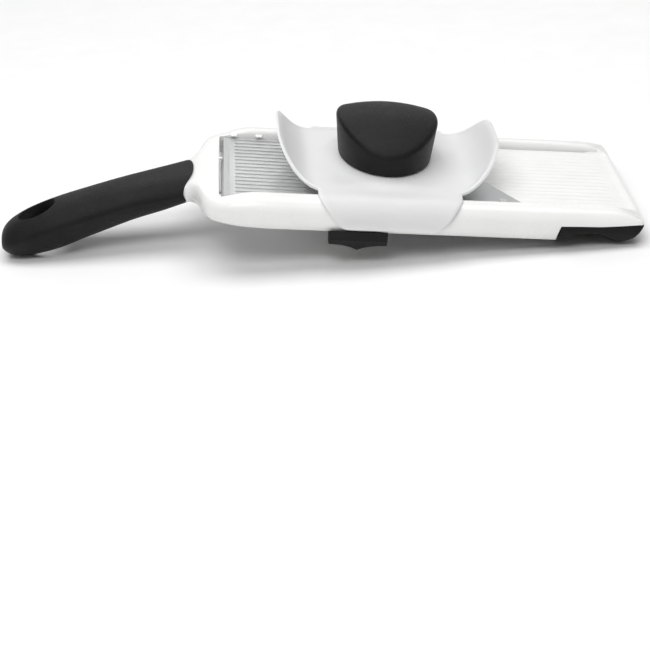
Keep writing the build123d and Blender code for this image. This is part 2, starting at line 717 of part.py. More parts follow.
pieces = {
    "body_frame": body_frame, "landing_plate": landing_plate, "blade": blade, "blade_clamp": blade_clamp,
    "blade_screws": blade_screws, "plate_screws": plate_screws, "ramp": ramp, "hinge_rod": hinge_rod,
    "ramp_springs": ramp_springs, "slide_carriage": slide_carriage, "thumb_tab": thumb_tab,
    "tab_screw": tab_screw, "slide_guides": slide_guides, "guide_screws": guide_screws,
    "detent_spring": detent_spring, "handle_core": handle_core, "handle_grip": handle_grip,
    "handle_screws": handle_screws, "front_foot": foot_with_pad, "hand_guard": hand_guard,
    "prong_plate": prong_plate, "food_prongs": food_prongs, "knob_core": knob_core,
    "knob_grip": knob_grip, "knob_screws": knob_screws,
}
boxes = [(lean * piece.part).bounding_box() for piece in pieces.values()]
mid_x = (min(box.min.X for box in boxes) + max(box.max.X for box in boxes)) / 2
stance = Location((-mid_x, 0, -table_z)) * lean

os.makedirs("parts", exist_ok=True)
for name, piece in pieces.items():
    placed = stance * piece.part
    placed.label = name
    export_step(placed, f"parts/{name}.step")
    print(name, round(placed.volume), len(placed.solids()), placed.is_valid)
print("stance: turned", stance_angle, "degrees about Y, then moved by", -mid_x, 0, -table_z)
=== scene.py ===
"""Looks of a hand-held mandoline slicer: white frame, clear ribbed ramp, slanted steel blade, frosted hand
guard with a black palm knob, soft black handle and foot.

Pieces are drawn in the tool's own frame, in millimetres: X runs along the runway towards the foot, Y runs
across it and Z = 0 is the runway. "stance" carries that frame to the row frame, in metres.
"""

from bisect import bisect_right
from math import ceil, cos, hypot, pi, radians, sin, sqrt, tan

import bmesh
import bpy
from mathutils import Matrix, Vector


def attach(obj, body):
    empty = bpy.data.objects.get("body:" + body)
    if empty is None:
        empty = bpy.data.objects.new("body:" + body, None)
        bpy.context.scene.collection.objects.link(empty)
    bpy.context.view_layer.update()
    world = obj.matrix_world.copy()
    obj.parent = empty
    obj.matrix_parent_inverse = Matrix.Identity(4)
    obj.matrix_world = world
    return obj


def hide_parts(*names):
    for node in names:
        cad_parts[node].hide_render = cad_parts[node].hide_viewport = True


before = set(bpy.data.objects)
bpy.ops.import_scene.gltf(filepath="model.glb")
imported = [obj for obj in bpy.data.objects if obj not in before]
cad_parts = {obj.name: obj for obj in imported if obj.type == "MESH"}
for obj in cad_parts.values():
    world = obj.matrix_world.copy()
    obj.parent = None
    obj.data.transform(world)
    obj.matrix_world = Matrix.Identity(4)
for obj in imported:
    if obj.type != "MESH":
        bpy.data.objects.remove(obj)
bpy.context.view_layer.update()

# ---- camera -------------------------------------------------------------------------------------
# A long lens above the near rail, a little to the handle's side. Its three directions and its place are
# given in the tool's own frame.
# slope of the runway when the slicer stands on its foot and its handle, distance from the tool's origin
# to the middle of the box, and height of that origin above the table
tilt = radians(7.3)
to_middle, above_table = 49.2033, 41.6107
stance = (Matrix.Translation((-to_middle / 1000, 0, above_table / 1000)) @ Matrix.Rotation(tilt, 4, "Y")
          @ Matrix.Scale(0.001, 4))
camera = bpy.data.objects.new("camera", bpy.data.cameras.new("camera"))
bpy.context.collection.objects.link(camera)
camera.data.lens = 95.5
camera.data.sensor_width = 36
across_view = Vector((0.9966, -0.0516, 0.0647))
down_view = Vector((0.0344, -0.4521, -0.8913))
into_view = Vector((0.0752, 0.8905, -0.4488))
turn = Matrix((across_view, -down_view, -into_view)).transposed()
eye = stance @ Vector((-10.3, -872.4, 345.1))
camera.matrix_world = Matrix.Translation(eye) @ (stance.to_3x3().normalized() @ turn).to_4x4()
bpy.context.scene.camera = camera
bpy.context.scene.view_settings.view_transform = "Standard"

# ---- light and floor ----------------------------------------------------------------------------
# A white room: a broad soft light overhead, a weaker window behind, a lamp in front and above, and a
# pale floor.
world = bpy.data.worlds.new("white_room")
bpy.context.scene.world = world
world.use_nodes = True
sky = world.node_tree.nodes["Background"]
sky.inputs["Color"].default_value = (1, 1, 1, 1)
sky.inputs["Strength"].default_value = 0.3


def soft_light(name, place, aim, size, power):
    """A rectangular area light that faces the point `aim`."""
    lamp = bpy.data.objects.new(name, bpy.data.lights.new(name, "AREA"))
    lamp.data.shape = "RECTANGLE"
    lamp.data.size, lamp.data.size_y = size
    lamp.data.energy = power
    lamp.location = place
    lamp.rotation_euler = (Vector(aim) - Vector(place)).to_track_quat("-Z", "Y").to_euler()
    bpy.context.collection.objects.link(lamp)


soft_light("overhead", (0.0, 0.1, 1.5), (0, 0, 0), (1.6, 1.0), 15.5)
soft_light("rear_window", (0.0, 1.7, 1.0), (0, 0, 0), (2.2, 0.8), 6)
soft_light("front_fill", (-0.3, -0.9, 1.2), (0, 0, 0.03), (0.9, 0.5), 8)


def linear(colour):
    """A hex sRGB colour as linear RGBA."""
    parts = [int(colour[i:i + 2], 16) / 255 for i in (0, 2, 4)]
    return [c / 12.92 if c <= 0.04045 else ((c + 0.055) / 1.055) ** 2.4 for c in parts] + [1.0]


def node(tree, kind, inputs=(), **settings):
    """Adds a node, with its settings and its inputs' values or links."""
    made = tree.nodes.new(kind)
    for key, value in settings.items():
        setattr(made, key, value)
    for key, value in dict(inputs).items():
        if isinstance(value, bpy.types.NodeSocket):
            tree.links.new(value, made.inputs[key])
        else:
            made.inputs[key].default_value = value
    return made


def surface(name, colours, roughness, grain, bump, constants=(), squash=(1, 1, 1)):
    """A material with cloudy colour and gloss between two values each, and a surface grain.

    grain is the grain's width in metres, bump its depth in metres, and squash stretches the pattern."""
    material = bpy.data.materials.new(name)
    material.use_nodes = True
    tree = material.node_tree
    shader = tree.nodes["Principled BSDF"]
    place = node(tree, "ShaderNodeTexCoord")
    stretched = node(tree, "ShaderNodeMapping", {"Vector": place.outputs["Object"],
                                                 "Rotation": (0, tilt, 0), "Scale": squash})
    cloud = node(tree, "ShaderNodeTexNoise", {"Vector": stretched.outputs["Vector"], "Scale": 45.0,
                                              "Detail": 4.0, "Roughness": 0.6})
    tint = node(tree, "ShaderNodeValToRGB", {"Fac": cloud.outputs["Fac"]})
    for stop, at, colour in zip(tint.color_ramp.elements, (0.3, 0.7), colours):
        stop.position = at
        stop.color = linear(colour)
    speck = node(tree, "ShaderNodeTexNoise", {"Vector": stretched.outputs["Vector"], "Scale": 1 / grain,
                                              "Detail": 3.0, "Roughness": 0.7})
    gloss = node(tree, "ShaderNodeMapRange", {"Value": speck.outputs["Fac"], "From Min": 0.3,
                                              "From Max": 0.7, "To Min": roughness[0],
                                              "To Max": roughness[1]})
    relief = node(tree, "ShaderNodeBump", {"Height": speck.outputs["Fac"], "Distance": bump,
                                           "Strength": 1.0})
    tree.links.new(tint.outputs["Color"], shader.inputs["Base Color"])
    tree.links.new(gloss.outputs["Result"], shader.inputs["Roughness"])
    tree.links.new(relief.outputs["Normal"], shader.inputs["Normal"])
    for key, value in dict(constants).items():
        shader.inputs[key].default_value = value
    return material


floor_mesh = bmesh.new()
bmesh.ops.create_grid(floor_mesh, x_segments=1, y_segments=1, size=6)
floor_data = bpy.data.meshes.new("floor")
floor_mesh.to_mesh(floor_data)
floor_mesh.free()
floor = bpy.data.objects.new("floor", floor_data)
bpy.context.collection.objects.link(floor)
floor_data.materials.append(surface("pale_floor", ("f4f4f4", "f7f7f7"), (0.8, 0.9), 0.01, 0.00001))

# ---- frame shell --------------------------------------------------------------------------------
# One injection moulded shell of white ABS: two rails with rounded backs, a deck that narrows to the neck,
# and a thin end bar, open below. Sections are drawn at stations round the runway opening and joined into
# one skin. Polished ABS shows clean, bright highlights with a faint orange-peel, 0.4 mm wide.
white_abs = surface("white_abs_gloss", ("ececeb", "f1f1f0"), (0.24, 0.32), 0.0004, 0.000002,
                    {"IOR": 1.53, "Coat Weight": 0.1, "Coat Roughness": 0.15})
ridge = [(-30, -12.4), (-26, -10.0), (-20, -6.3), (-14, -2.8), (-9, -0.8), (-4, -0.15), (0.5, 0.0),
         (4, 0.7), (9, 2.5), (14, 3.8), (18, 4.25), (24, 4.3), (202, 4.3), (208, 3.9), (213, 2.9),
         (218, 1.3), (222.4, -0.2)]
wall, deck_wall = 2.4, 2.0


def flow(table, at):
    """The value at `at` of a smooth curve through a table of (place, value) pairs, without overshoot."""
    at = min(max(at, table[0][0]), table[-1][0])
    i = min(max(bisect_right([place for place, _ in table], at) - 1, 0), len(table) - 2)
    slopes = [(b[1] - a[1]) / (b[0] - a[0]) for a, b in zip(table, table[1:])]

    def lean(k):
        """The curve's slope at point k."""
        if k == 0 or k == len(slopes):
            return slopes[min(k, len(slopes) - 1)]
        before, after = slopes[k - 1], slopes[k]
        return 0 if before * after <= 0 else 2 * before * after / (before + after)

    width = table[i + 1][0] - table[i][0]
    t = (at - table[i][0]) / width
    return (table[i][1] * (1 + 2 * t) * (1 - t) ** 2 + table[i + 1][1] * t * t * (3 - 2 * t)
            + width * (lean(i) * t * (1 - t) ** 2 - lean(i + 1) * t * t * (1 - t)))


def ease(low, high, x):
    """0 below `low`, 1 above `high`, and smooth between."""
    t = min(max((x - low) / (high - low), 0), 1)
    return t * t * (3 - 2 * t)


def top_height(x, y):
    """Height of the frame's top above the runway, before its sides round over."""
    rail = ease(40, 45, abs(y)) if x > 190 else 1
    return flow(ridge, x) * rail


# outline X and Y, matching point of the opening's edge, width of the rounded side, height where the
# side starts to round over, height of its widest point, lower edge outside, lower edge inside
stations = [
    (-26, 0, 0, 0, 4.0, -10.0, -13.5, -18.4, -2.7),
    (-26, 9, 0, 7, 4.0, -10.0, -13.5, -18.4, -2.7),
    (-25.6, 15.4, 0, 12, 4.0, -9.8, -13.4, -18.2, -2.7),
    (-24.2, 17.8, 0, 15.5, 4.0, -9.0, -12.8, -17.5, -2.7),
    (-19, 19.2, 0, 18.5, 4.0, -5.8, -10.6, -15.3, -2.7),
    (-16.4, 20.8, 0, 21, 4.0, -4.0, -9.4, -14.3, -2.7),
    (-14.3, 23.6, 0, 24, 4.0, -2.9, -8.6, -13.6, -2.7),
    (-12.3, 28.6, 0, 28, 4.0, -1.9, -7.8, -12.9, -2.7),
    (-10.8, 35, 0, 32.5, 4.0, -1.3, -7.2, -12.5, -2.7),
    (-9.2, 41.5, 0, 37.5, 4.2, -0.8, -6.9, -12.3, -2.7),
    (-6.4, 47.2, 0, 41.5, 4.6, -0.3, -6.7, -12.1, -2.7),
    (-3, 50.6, 0, 44, 5.2, -0.1, -6.6, -12.0, -4.0),
    (2, 53.6, 4, 44, 6.0, 0.3, -6.6, -11.9, -13.0),
    (10, 56.0, 11, 44, 7.4, 2.9, -6.9, -12.1, -14.0),
    (18, 56.8, 18, 44, 8.5, 4.3, -7.1, -12.3, -14.2),
    (26, 57, 26, 44, 9.0, 4.3, -7.2, -12.5, -14.2),
    (60, 57, 60, 44, 9.0, 4.3, -7.2, -12.5, -14.2),
    (100, 57, 100, 44, 9.0, 4.3, -7.2, -12.5, -14.2),
    (140, 57, 140, 44, 9.0, 4.3, -7.2, -12.5, -14.2),
    (176.3, 57, 177, 44, 9.0, 4.3, -7.2, -12.5, -14.2),
    (178.1, 57, 178.1, 44, 9.0, 4.3, -7.2, -4.0, -6.2),
    (198, 57, 198, 44, 9.0, 4.3, -7.2, -3.5, -6.2),
    (208, 57, 207, 44, 9.0, 4.3, -7.2, -2.8, -6.2),
    (219.0, 57, 214, 44, 8.6, 4.3, -7.2, -1.8, -6.2),
    (221.6, 56.0, 216, 44, 6.5, 4.0, -6.0, -1.6, -6.2),
    (222.3, 53.6, 216, 41.5, 2.2, 0.5, -2.6, -1.7, -6.2),
    (222.35, 44, 216, 37, 1.0, 0.0, -1.0, -1.7, -6.2),
    (222.35, 22, 216, 18, 1.0, 0.0, -1.0, -1.7, -6.2),
    (222.35, 0, 216, 0, 1.0, 0.0, -1.0, -1.7, -6.2),
]
run = [0.0]
for one, other in zip(stations, stations[1:]):
    run.append(run[-1] + hypot(other[0] - one[0], other[1] - one[1]))
columns = [[(run[k], station[c]) for k, station in enumerate(stations)] for c in range(9)]


def section(at):
    """The frame's closed section at a distance round the outline, as points in the tool's frame."""
    reach = 0.3                    # how far to either side the outline's direction is measured
    px, py, qx, qy, band, arc_top, belly, low, inner_low = [flow(column, at) for column in columns]
    before = [flow(column, at - reach) for column in columns[:2]]
    after = [flow(column, at + reach) for column in columns[:2]]
    way = Vector((after[0] - before[0], after[1] - before[1])).normalized()
    inward = Vector((way.y, -way.x))
    rim, inner = Vector((px, py)), Vector((qx, qy))
    if inward.dot(inner - rim) < 0:
        inward = -inward
    shoulder = rim + inward * band
    # towards the neck the sides round over from the height of the deck
    if px < 18:
        arc_top = top_height(*shoulder)
    is_bar = ease(217, 222, px)

    # the rounded side, from its shoulder down to its lower edge
    side = []
    soft = 0.8                     # width over which the side and the top run into each other
    for k in range(41):
        angle = pi / 2 * k / 40
        flat = shoulder - inward * band * sin(angle)
        arc = arc_top - (arc_top - belly) * (1 - cos(angle))
        crest = top_height(*flat)
        blend = max(soft - abs(arc - crest), 0) / soft
        side.append((band * (1 - sin(angle)), min(arc, crest) - blend * blend * soft / 4))
    bilge = min(7.0, belly - low + 2.4) * (1 - is_bar) + 0.6 * is_bar
    tuck = radians(60)             # how far the side turns under
    for k in range(1, 25):
        angle = tuck * k / 24
        side.append((bilge * (1 - cos(angle)), belly - (belly - low + 0.6) / sin(tuck) * sin(angle)))
    kept = [side[0]]
    for point in side[1:]:
        if point[1] < low:
            part = (kept[-1][1] - low) / max(kept[-1][1] - point[1], 1e-6)
            kept.append((kept[-1][0] + (point[0] - kept[-1][0]) * part, low))
            break
        kept.append(point)
    lengths = [0.0]
    for one, other in zip(kept, kept[1:]):
        lengths.append(lengths[-1] + max(hypot(other[0] - one[0], other[1] - one[1]), 1e-6))
    far_table = [(length, point[0]) for length, point in zip(lengths, kept)]
    high_table = [(length, point[1]) for length, point in zip(lengths, kept)]
    split = lengths[-1]
    if low < -5:
        split = next(length for length, point in zip(lengths, kept) if point[1] < -4.0)
    steps = [split * k / 11 for k in range(12)]
    steps += [split + max(lengths[-1] - split, 0) * k / 4 for k in (1, 2, 3, 4)]
    outside = [(flow(far_table, step), flow(high_table, step)) for step in steps]

    points = []
    for depth, height in outside:
        flat = rim + inward * depth
        points.append((flat.x, flat.y, height))
    # the underside: up inside the outer wall, along the ceiling, down and round the inner wall
    edge_depth = outside[-1][0]
    depth_in = wall * (1 - is_bar) + 0.8 * is_bar
    across_in = (inner - shoulder).length

    def under(depth, height):
        """A point `depth` mm inward of the outline."""
        flat = rim + inward * depth
        points.append((flat.x, flat.y, height))

    def between(part, height):
        """A point a fraction of the way from the shoulder to the opening's edge."""
        flat = shoulder.lerp(inner, part)
        points.append((flat.x, flat.y, height))

    ceiling = top_height(*shoulder) - wall
    if is_bar > 0.5:
        under(edge_depth + 0.5, low - 0.7)
        under(edge_depth + 1.0, low - 1.5)
        under(edge_depth + 1.6, low - 2.4)
        between(0.2, -5.2)
        for part in (0.4, 0.5, 0.6, 0.65, 0.7):
            between(part, -6.2)
    else:
        step = min(wall / max(across_in, 1), 0.6)
        under(edge_depth + max(depth_in - edge_depth, 0.3), low)
        under(depth_in + 0.2, max(min(arc_top - 6.5, ceiling - 3), low + 0.2))
        under(depth_in + 2.0, max(ceiling - 1.2, low + 0.4))
        between(0.05, max(ceiling, low + 0.6))
        for part in (0.35, 0.6, 0.8):
            between(part * (1 - step), top_height(*shoulder.lerp(inner, part * (1 - step))) - deck_wall)
        between(1 - step, top_height(*inner) - deck_wall)
        between(1 - step, min(inner_low, top_height(*inner) - wall - 0.1))
    between(1, min(inner_low, top_height(*inner) - wall - 0.1))
    # the opening's wall, which leans outwards as it rises to a rail, and the top, back to the shoulder
    crest = top_height(*inner)
    foot_high = 0.4 * crest - 0.5
    lean = max(0.045 - 0.041 * is_bar, 2.2 * ease(0, 4.3, crest) / across_in)
    between(1, foot_high)
    between(1 - 0.28 * lean, foot_high + 0.52 * (crest - foot_high))
    between(1 - 0.6 * lean, foot_high + 0.88 * (crest - foot_high))
    between(1 - lean, crest)
    for part in (0.86, 0.7, 0.5, 0.3, 0.13):
        flat = shoulder.lerp(inner, part * (1 - lean))
        points.append((flat.x, flat.y, top_height(*flat)))
    return points


def skin(bm, rows, ring=True, loop=False):
    """Quads between neighbouring rows of vertices.

    ring closes each row and loop joins the last row to the first."""
    count = len(rows[0])
    for one, other in list(zip(rows, rows[1:])) + ([(rows[-1], rows[0])] if loop else []):
        for i in range(count if ring else count - 1):
            j = (i + 1) % count
            bm.faces.new((one[i], one[j], other[j], other[i]))


def block(bm, low, high, edge=0.3):
    """A small moulded block between two corners, with rounded edges."""
    middle = [(a + b) / 2 for a, b in zip(low, high)]
    size = [b - a for a, b in zip(low, high)]
    place = Matrix.Translation(middle) @ Matrix.Diagonal((*size, 1))
    made = bmesh.ops.create_cube(bm, size=1, matrix=place)
    edges = list({e for v in made["verts"] for e in v.link_edges})
    bmesh.ops.bevel(bm, geom=edges, offset=edge, segments=2, affect="EDGES", profile=0.5, material=-1)


def make_piece(bm, name, finish, slot, body, *nodes, sharp=38):
    """Turns a drawing in the tool's frame into a piece that rides on a body and stands for CAD nodes."""
    bmesh.ops.transform(bm, matrix=stance, verts=bm.verts)
    bmesh.ops.recalc_face_normals(bm, faces=bm.faces)
    for face in bm.faces:
        face.smooth = True
    for edge in bm.edges:
        edge.smooth = edge.calc_face_angle(0) < radians(sharp)
    mesh = bpy.data.meshes.new(name)
    bm.to_mesh(mesh)
    bm.free()
    mesh.materials.append(finish)
    piece = bpy.data.objects.new(name, mesh)
    bpy.context.collection.objects.link(piece)
    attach(piece, body)
    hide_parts(*nodes)
    return piece


spots = []
for k in range(len(stations) - 1):
    gap = run[k + 1] - run[k]
    wide = 14 if 24 <= stations[k][0] < 198 else 2.2
    parts = 1 if stations[k][0] == 176.3 else max(ceil(gap / wide), 1)
    spots += [run[k] + gap * i / parts for i in range(parts)]
spots.append(run[-1])
shell = bmesh.new()
far_rows = [section(at) for at in spots]
near_rows = [[(x, -y, z) for x, y, z in row] for row in reversed(far_rows[1:-1])]
shell_rows = [[shell.verts.new(point) for point in row] for row in far_rows + near_rows]
skin(shell, shell_rows, loop=True)
# ledges for the landing plate, seat of the ramp springs, socket block of the handle's tang
for side in (-1, 1):
    start = 171 if side < 0 else 121
    near, far = sorted((side * 38.2, side * 44.2))
    block(shell, (start, near, -5.4), (216.2, far, -3.2))
block(shell, (-10.3, -29.8, -12.5), (-0.7, 29.8, -10.7))
block(shell, (-19, -16.5, -14.5), (-8.4, 16.5, -7.0), edge=1.0)
# small nubs over the ramp's edge, one at the hinge end and two on the far rail
block(shell, (-0.4, 10.9, -1.4), (1.7, 13.1, -0.1))
for x in (8.0, 22.0):
    block(shell, (x - 1.8, 41.1, 0.9), (x + 1.8, 44.7, 1.8))
make_piece(shell, "frame_shell", white_abs, "white_plastic", "frame", "body_frame")

# ---- landing plate ------------------------------------------------------------------------------
# Moulded ABS plate behind the blade with low lengthwise ribs that fade out before the end bar. It is
# screwed to ledges inside the rails and stands 0.6 mm clear of the near rail and 1.4 mm clear of the far
# one, which leaves a dark slit there. Its satin mould finish is duller than the frame's.
ribbed_abs = surface("white_abs_satin", ("e9e9e8", "eeeeed"), (0.34, 0.42), 0.0004, 0.000003,
                     {"IOR": 1.53})
slant = tan(radians(30.5))
blade_back, runway_half = 163.7, 44          # X of the blade's back edge at the near rail


def blade_line(y, offset):
    """X of a line parallel to the blade, `offset` mm behind the blade's back edge."""
    return blade_back - slant * (y + runway_half) + offset


landing = bmesh.new()
offsets = (-2.5, -1.3, -0.75, -0.4, 0.4, 0.75, 1.3)
swell = {-0.75: 0.5, -0.4: 1, 0.4: 1, 0.75: 0.5}
rib_pitch, rib_height = 5.0, 0.26
near_edge, far_edge, plate_under = -43.4, 42.6, -3.2
# towards the end bar the plate widens to meet both rails
widen = {near_edge: -0.58, far_edge: 1.38}
lines = [(near_edge, 0)]
lines += [(rib_pitch * k + step, swell.get(step, 0)) for k in range(-8, 9) for step in offsets]
lines += [(far_edge, 0)]
decks = []
for top in (True, False):
    rows = []
    for y, rib in lines:
        start = blade_line(y, 0.12)
        row = []
        for share in (0, 0.004, 0.02, 0.25, 0.5, 0.75, 0.88, 0.925, 0.95, 0.97, 1):
            x = start + (216.0 - start) * share
            fade = ease(0, 1.2, x - start) * ease(213, 209, x)
            wide = widen.get(y, 0) * ease(210.2, 210.8, x)
            height = rib_height * rib * fade if top else plate_under
            row.append(landing.verts.new((x, y + wide, height)))
        rows.append(row)
    decks.append(rows)
    skin(landing, rows, ring=False)


def outline(rows):
    """The vertices round the edge of a sheet."""
    return (rows[0] + [row[-1] for row in rows[1:-1]] + rows[-1][::-1]
            + [row[0] for row in reversed(rows[1:-1])])


skin(landing, [outline(decks[0]), outline(decks[1])])
# the blade's shelf
shelf = [[landing.verts.new((blade_line(y, offset), y, z)) for y in (near_edge, -near_edge)]
         for offset, z in ((-18, -0.4), (0.6, -0.4), (0.6, plate_under), (-18, plate_under))]
skin(landing, [list(side) for side in zip(*shelf)])
for k in (0, 1):
    landing.faces.new([pair[k] for pair in shelf])
make_piece(landing, "landing_ribbed", ribbed_abs, "landing_plastic", "frame", "landing_plate", sharp=50)

# ---- blade, clamp and screws --------------------------------------------------------------------
# A slanted stainless blade on the landing plate's shelf, ground to an edge, with a steel clamp strip under
# the shelf and three screws through all. Grinding leaves streaks across the runway that dull the blade,
# drawn 0.2 mm wide so that they show; the fasteners are plain turned and pressed steel, a little brighter.
ground_steel = surface("satin_ground_steel", ("bcbdbe", "c6c7c8"), (0.38, 0.50), 0.0002, 0.000003,
                       {"Metallic": 1.0}, squash=(1, 0.03, 1))
plain_steel = surface("plain_stainless_steel", ("b4b5b6", "c2c3c4"), (0.22, 0.34), 0.0003, 0.000003,
                      {"Metallic": 1.0})


def dress(name, finish, edge=0.0):
    """Gives a CAD node its finish and rounds its edges by `edge` metres."""
    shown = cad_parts[name]
    shown.data.materials.clear()
    shown.data.materials.append(finish)
    if edge:
        weld = shown.modifiers.new("weld", "WELD")
        weld.merge_threshold = 0.000005
        bevel = shown.modifiers.new("rounded_edges", "BEVEL")
        bevel.width = edge
        bevel.segments = 2
        bevel.limit_method = "ANGLE"
        bevel.angle_limit = radians(40)


dress("blade", ground_steel)
for name in ("blade_clamp", "blade_screws", "plate_screws"):
    dress(name, plain_steel)

# ---- ramp ---------------------------------------------------------------------------------------
# A ribbed plate of clear polycarbonate that turns on a steel rod, with two small springs under its tail.
# Moulded clear, it looks smoky over the dark inside of the frame and its ribs catch thin grey lines.
clear_pc = surface("smoky_clear_polycarbonate", ("dfe0e0", "e6e6e7"), (0.14, 0.22), 0.0006, 0.000002,
                   {"IOR": 1.58, "Transmission Weight": 0.52})
dress("ramp", clear_pc, 0.00022)
dress("hinge_rod", plain_steel)
dress("ramp_springs", plain_steel)

# ---- thickness slide ----------------------------------------------------------------------------
# A carriage of natural acetal runs on two guides screwed inside the rails and holds a soft black tab below
# the near rail. Moulded acetal is waxy, off-white and a little translucent. The elastomer is matt, with a
# fine moulded grain that is drawn 0.9 mm wide so that it shows.
acetal = surface("natural_acetal", ("dedfdb", "e8e8e4"), (0.3, 0.4), 0.0005, 0.000003,
                 {"IOR": 1.48, "Subsurface Weight": 0.15, "Subsurface Radius": (0.003, 0.003, 0.003)})
black_tpe = surface("soft_black_elastomer", ("070707", "131313"), (0.38, 0.60), 0.0009, 0.0003,
                    {"IOR": 1.5, "Specular IOR Level": 0.22})
dress("slide_carriage", acetal, 0.0002)
dress("slide_guides", acetal, 0.0002)
dress("thumb_tab", black_tpe, 0.0009)
for name in ("tab_screw", "guide_screws", "detent_spring"):
    dress(name, plain_steel)

# ---- foot ---------------------------------------------------------------------------------------
# Soft black elastomer, moulded over the end of the frame: a shallow notch for a bowl's rim, then a round
# lobe whose lowest part rests flat on the table.
foot = bmesh.new()
sole = [(176.3, -13.9), (181, -13.6), (184.5, -12.0), (188.5, -9.6), (195, -9.2), (201, -10.6),
        (205, -13.4), (209.5, -15.6), (214, -14.4), (218.2, -10.8), (220.7, -6.4), (222.2, -2.7)]
head = [(176.3, -4.1), (178.1, -4.05), (198, -3.55), (208, -2.85), (218.2, -1.85), (222.2, -1.75)]
foot_rows = []
foot_places = [176.3, 176.9, 178.2, 180, 182, 184, 186, 188, 190.5, 193, 196, 199, 201.5, 203.5, 205.5,
               207.5, 209.5, 211.5, 213.5, 215.5, 217.0, 218.2, 219.4, 220.5, 221.4, 222.0, 222.2]
foot_half, foot_corner = 57, 3.6          # half width, and radius of its end's corners in plan
belly_z = -7.2                            # height where the frame's sides are widest
for x in foot_places:
    low, high = flow(sole, x), flow(head, x)
    widest = max(belly_z, (low + high) / 2)
    half = foot_half - (foot_corner - sqrt(max(foot_corner ** 2 - max(x - 218.7, 0) ** 2, 0)))
    run_in = flow([(176, 7.5), (190, 12), (209, 17), (221.7, 9)], x)
    side = []
    for k in range(7):
        z = high + (widest - high) * k / 6
        side.append((half - 9 * (1 - sqrt(1 - min(((z - belly_z) / 11.5) ** 2, 1))), z))
    for k in range(1, 9):
        angle = pi / 2 * k / 8
        side.append((half - run_in * (1 - cos(angle)), widest - (widest - low) * sin(angle)))
    side += [(half - run_in - reach, low) for reach in (6, 16)]
    lean_in = 1.9 * (1 - ease(176.3, 179.5, x))
    row = []
    # nothing of the foot goes below the table
    for y, z in side:
        table = tan(tilt) * x - above_table / cos(tilt) + 0.004
        row.append((x + lean_in * (z + 13.9) / 9 * (1 if z > -13.9 else 0), y, max(z, table)))
    row = [(x, -y, z) for x, y, z in row] + [(x, y, z) for x, y, z in reversed(row)]
    foot_rows.append([foot.verts.new(point) for point in row])
skin(foot, foot_rows)
for row in (foot_rows[0], foot_rows[-1]):
    foot.faces.new(row)
make_piece(foot, "foot_soft", black_tpe, "soft_black", "frame", "front_foot", sharp=60)

# ---- handle grip --------------------------------------------------------------------------------
# Soft black elastomer over a rigid tang of polypropylene, screwed to the neck: a broad crowned top, a firm
# edge along each side and a round hanging hole. Rings are drawn along the axis; a block of the grid is
# opened into a circle for the hole, then subdivided. The tang's moulded black plastic looks smoother and
# a little lighter than the grip.
black_pp = surface("black_polypropylene", ("121212", "1a1a1a"), (0.36, 0.48), 0.0005, 0.000005,
                   {"IOR": 1.49})
dress("handle_core", black_pp)
dress("handle_screws", plain_steel)
slope, root_z = radians(21.6), -3.4          # the handle's axis: how steeply it falls, and from what height
hole_at = 101.1
opening = (12.4, 10.0)                       # half length and half width of the opened grid
grip_sizes = {
    "half": [(6, 21.8), (22, 20.7), (42, 19.0), (64, 18.8), (88, 19.2), (106, 18.8), (117, 16.8),
             (122.5, 13.8), (124.6, 10.8)],
    "above": [(6, 6.5), (22, 8.0), (42, 10.3), (64, 12.3), (88, 12.8), (106, 11.6), (117, 9.4),
              (122.5, 6.7), (124.6, 4.2)],
    "below": [(6, 7.0), (22, 8.2), (42, 9.7), (64, 11.4), (88, 12.4), (106, 11.5), (117, 9.6),
              (122.5, 6.7), (124.6, 4.2)],
    "edge": [(6, 0.0), (26, 0.6), (50, 2.8), (90, 3.2), (112, 2.0), (124.6, 0.3)],
}


def grip_share(u, v, bulge, fullness):
    """How much of its full height the grip's section has at v across: 1 in the middle, 0 at its edge."""
    part = min(abs(v) / flow(grip_sizes["half"], u), 1)
    return (1 - part ** bulge) ** fullness


def grip_top(u, v):
    """Height of the grip's top above its axis, u along the axis and v across it."""
    turn = ease(12, 70, u)
    edge = flow(grip_sizes["edge"], u)
    share = grip_share(u, v, 4.4 - 2.2 * turn, 0.64 - 0.08 * turn)
    return edge + (flow(grip_sizes["above"], u) - edge) * share


def grip_bottom(u, v):
    """Height of the grip's underside, below its axis."""
    edge = flow(grip_sizes["edge"], u)
    groove = ease(36, 54, u) * ease(102, 78, u)
    share = grip_share(u, v, 2.6 - 0.9 * groove, 0.6 + 0.16 * groove)
    return edge - (flow(grip_sizes["below"], u) + edge) * share


def on_grip(u, v, height):
    """A point given along, across and above the handle's axis."""
    return Vector((-u * cos(slope) - height * sin(slope), v,
                   root_z - u * sin(slope) + height * cos(slope)))


fractions = [-1, -0.97, -0.9, -0.8, -0.68, -0.54, -0.36, -0.18]
fractions += [0] + [-part for part in reversed(fractions)]
places = [18.5, 20.5, 24, 29, 36, 45, 55, 65, 74, 81, 85.5]
places += [hole_at + 4 * k for k in range(-3, 4)]
places += [116.6, 119.4, 121.6, 123.4, 124.6]
hole_row, hole_column = places.index(hole_at), 8
grid = {}
for i, u in enumerate(places):
    for j, part in enumerate(fractions):
        grid[i, j] = [u, part * flow(grip_sizes["half"], u)]
